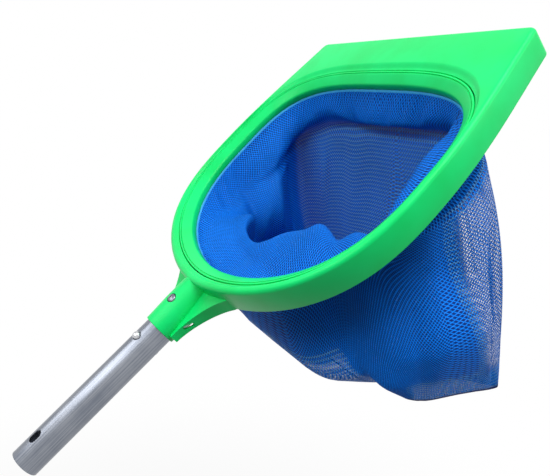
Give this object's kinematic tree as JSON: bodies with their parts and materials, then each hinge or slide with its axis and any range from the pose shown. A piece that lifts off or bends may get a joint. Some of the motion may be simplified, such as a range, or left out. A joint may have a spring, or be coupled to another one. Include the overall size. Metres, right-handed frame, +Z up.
{
  "type": "leaf skimmer net",
  "caption": "Pool leaf skimmer: a flat-lipped moulded scoop with a lift-out net ring and deep mesh bag, riveted to a short tube with spring snap buttons.",
  "frame": {"origin": "centre of the handle tube's open end", "axes": "+Z up against gravity, +X forward and level, the way the lip points, +Y to the left; the handle climbs forward at 38.4 degrees and the scoop at 41.8 degrees"},
  "size_m": [0.4364, 0.3668, 0.3827],
  "materials": {
    "green_plastic": "satin-gloss injection moulded spring green",
    "satin_aluminium": "drawn tube, satin, lightly brushed along its length",
    "spring_steel": "bright stainless",
    "blue_mesh": "fine royal blue knitted polyester mesh, see-through in one layer",
    "hem_tape": "pale blue bound edge of the mesh"
  },
  "bodies": {
    "frame": {"scoop_frame": "green_plastic", "handle_tube": "satin_aluminium", "rivet_top": "satin_aluminium", "rivet_side": "satin_aluminium", "rivet_top_mandrel": "spring_steel", "rivet_side_mandrel": "spring_steel", "snap_clip": "spring_steel"},
    "net": {"net_ring": "green_plastic", "clamp_ring": "green_plastic", "bag_hem": "hem_tape", "mesh_bag": "blue_mesh"},
    "button_top": {"snap_button_top": "spring_steel"},
    "button_bottom": {"snap_button_bottom": "spring_steel"}
  },
  "joints": [
    {"name": "net_ring_lift", "type": "slide", "parent": "frame", "child": "net", "axis": [-0.6665, 0, 0.7455], "range_m": [0, 0.018]},
    {"name": "button_top_press", "type": "slide", "parent": "frame", "child": "button_top", "axis": [0.6052, 0.225, -0.7636], "range_m": [0, 0.004], "stiffness_N_per_m": 1200, "springref_m": -0.002, "deforming": ["snap_clip"]},
    {"name": "button_bottom_press", "type": "slide", "parent": "frame", "child": "button_bottom", "axis": [-0.6052, -0.225, 0.7636], "range_m": [0, 0.004], "stiffness_N_per_m": 1200, "springref_m": -0.002, "deforming": ["snap_clip"]}
  ]
}
